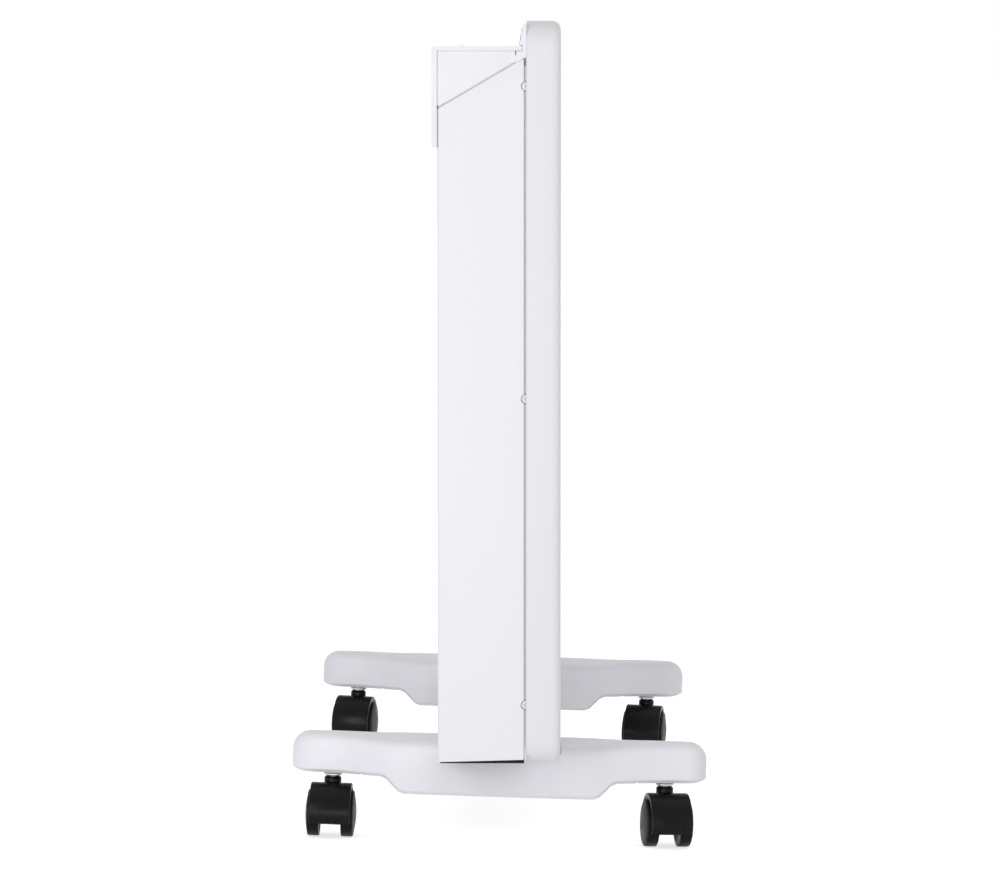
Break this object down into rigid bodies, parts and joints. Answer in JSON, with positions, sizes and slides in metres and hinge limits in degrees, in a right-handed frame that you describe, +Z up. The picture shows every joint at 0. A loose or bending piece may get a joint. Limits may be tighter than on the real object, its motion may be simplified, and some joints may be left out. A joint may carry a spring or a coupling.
{
  "type": "convector heater",
  "caption": "Electric panel convector heater with a sloped rear casing, a top control box and two cross feet on swivelling twin-wheel casters.",
  "frame": {"origin": "on the floor, under the middle of the heater", "axes": "+Z up, front panel faces -Y and leans back by 1.8 degrees, width along X with the control box at the -X end"},
  "size_m": [0.64, 0.2364, 0.4663],
  "materials": {
    "enamel": "smooth satin powder coat",
    "white_plastic": "fine satin moulding",
    "black_plastic": "satin moulding",
    "wheel": "satin moulding",
    "zinc": "bright zinc plate",
    "galvanised": "galvanised sheet",
    "fins": "extruded",
    "sheath": "oxidised sheath",
    "lens": "clear amber",
    "sleeve": "glass-fibre sleeve"
  },
  "bodies": {
    "heater_body": {"front_panel": "enamel", "rear_casing": "enamel", "outlet_grille": "white_plastic", "control_housing": "white_plastic", "control_cover": "white_plastic", "foot_left": "white_plastic", "foot_right": "white_plastic", "terminal_block": "white_plastic", "inlet_grille": "black_plastic", "cord_gland": "black_plastic", "switch_body_low": "black_plastic", "switch_body_high": "black_plastic", "thermostat": "black_plastic", "tip_over_switch": "black_plastic", "thermal_cutout": "black_plastic", "indicator_lens": "lens", "heat_shield": "galvanised", "side_frame_left": "galvanised", "side_frame_right": "galvanised", "element_bracket_left": "galvanised", "element_bracket_right": "galvanised", "heating_element": "fins", "element_tube": "sheath", "wire_left": "sleeve", "wire_right": "sleeve", "side_screw_left_1": "zinc", "side_screw_left_2": "zinc", "side_screw_left_3": "zinc", "foot_screw_left_front": "zinc", "foot_screw_left_rear": "zinc", "side_screw_right_1": "zinc", "side_screw_right_2": "zinc", "side_screw_right_3": "zinc", "foot_screw_right_front": "zinc", "foot_screw_right_rear": "zinc", "caster_stem_left_rear": "zinc", "caster_stem_left_front": "zinc", "caster_stem_right_rear": "zinc", "caster_stem_right_front": "zinc"},
    "caster_left_rear": {"caster_hood_left_rear": "black_plastic", "caster_axle_left_rear": "zinc"},
    "wheel_left_rear_a": {"caster_wheel_left_rear_a": "wheel"},
    "wheel_left_rear_b": {"caster_wheel_left_rear_b": "wheel"},
    "caster_left_front": {"caster_hood_left_front": "black_plastic", "caster_axle_left_front": "zinc"},
    "wheel_left_front_a": {"caster_wheel_left_front_a": "wheel"},
    "wheel_left_front_b": {"caster_wheel_left_front_b": "wheel"},
    "caster_right_rear": {"caster_hood_right_rear": "black_plastic", "caster_axle_right_rear": "zinc"},
    "wheel_right_rear_a": {"caster_wheel_right_rear_a": "wheel"},
    "wheel_right_rear_b": {"caster_wheel_right_rear_b": "wheel"},
    "caster_right_front": {"caster_hood_right_front": "black_plastic", "caster_axle_right_front": "zinc"},
    "wheel_right_front_a": {"caster_wheel_right_front_a": "wheel"},
    "wheel_right_front_b": {"caster_wheel_right_front_b": "wheel"},
    "knob": {"thermostat_knob": "white_plastic"},
    "rocker_low": {"power_rocker_low": "white_plastic"},
    "rocker_high": {"power_rocker_high": "white_plastic"}
  },
  "joints": [
    {"name": "swivel_left_rear", "type": "hinge", "parent": "heater_body", "child": "caster_left_rear", "pos_m": [-0.24, 0.0949, 0], "axis": [0, 0, 1], "continuous": true},
    {"name": "roll_left_rear_a", "type": "hinge", "parent": "caster_left_rear", "child": "wheel_left_rear_a", "pos_m": [-0.24849, 0.0952, 0.01325], "axis": [-0.0349, -0.9994, 0], "continuous": true},
    {"name": "roll_left_rear_b", "type": "hinge", "parent": "caster_left_rear", "child": "wheel_left_rear_b", "pos_m": [-0.24849, 0.0952, 0.01325], "axis": [-0.0349, -0.9994, 0], "continuous": true},
    {"name": "swivel_left_front", "type": "hinge", "parent": "heater_body", "child": "caster_left_front", "pos_m": [-0.24, -0.0949, 0], "axis": [0, 0, 1], "continuous": true},
    {"name": "roll_left_front_a", "type": "hinge", "parent": "caster_left_front", "child": "wheel_left_front_a", "pos_m": [-0.24837, -0.09638, 0.01325], "axis": [0.1736, -0.9848, 0], "continuous": true},
    {"name": "roll_left_front_b", "type": "hinge", "parent": "caster_left_front", "child": "wheel_left_front_b", "pos_m": [-0.24837, -0.09638, 0.01325], "axis": [0.1736, -0.9848, 0], "continuous": true},
    {"name": "swivel_right_rear", "type": "hinge", "parent": "heater_body", "child": "caster_right_rear", "pos_m": [0.24, 0.0949, 0], "axis": [0, 0, 1], "continuous": true},
    {"name": "roll_right_rear_a", "type": "hinge", "parent": "caster_right_rear", "child": "wheel_right_rear_a", "pos_m": [0.23163, 0.09638, 0.01325], "axis": [-0.1736, -0.9848, 0], "continuous": true},
    {"name": "roll_right_rear_b", "type": "hinge", "parent": "caster_right_rear", "child": "wheel_right_rear_b", "pos_m": [0.23163, 0.09638, 0.01325], "axis": [-0.1736, -0.9848, 0], "continuous": true},
    {"name": "swivel_right_front", "type": "hinge", "parent": "heater_body", "child": "caster_right_front", "pos_m": [0.24, -0.0949, 0], "axis": [0, 0, 1], "continuous": true},
    {"name": "roll_right_front_a", "type": "hinge", "parent": "caster_right_front", "child": "wheel_right_front_a", "pos_m": [0.23158, -0.09372, 0.01325], "axis": [-0.1392, -0.9903, 0], "continuous": true},
    {"name": "roll_right_front_b", "type": "hinge", "parent": "caster_right_front", "child": "wheel_right_front_b", "pos_m": [0.23158, -0.09372, 0.01325], "axis": [-0.1392, -0.9903, 0], "continuous": true},
    {"name": "knob_turn", "type": "hinge", "parent": "heater_body", "child": "knob", "pos_m": [-0.16, 0.02467, 0.43932], "axis": [0, -0.0314, -0.9995], "range_deg": [0, 270]},
    {"name": "rocker_tilt_low", "type": "hinge", "parent": "heater_body", "child": "rocker_low", "pos_m": [-0.278, 0.02489, 0.44631], "axis": [-1, 0, 0], "range_deg": [0, 16]},
    {"name": "rocker_tilt_high", "type": "hinge", "parent": "heater_body", "child": "rocker_high", "pos_m": [-0.248, 0.02489, 0.44631], "axis": [-1, 0, 0], "range_deg": [0, 16]}
  ]
}
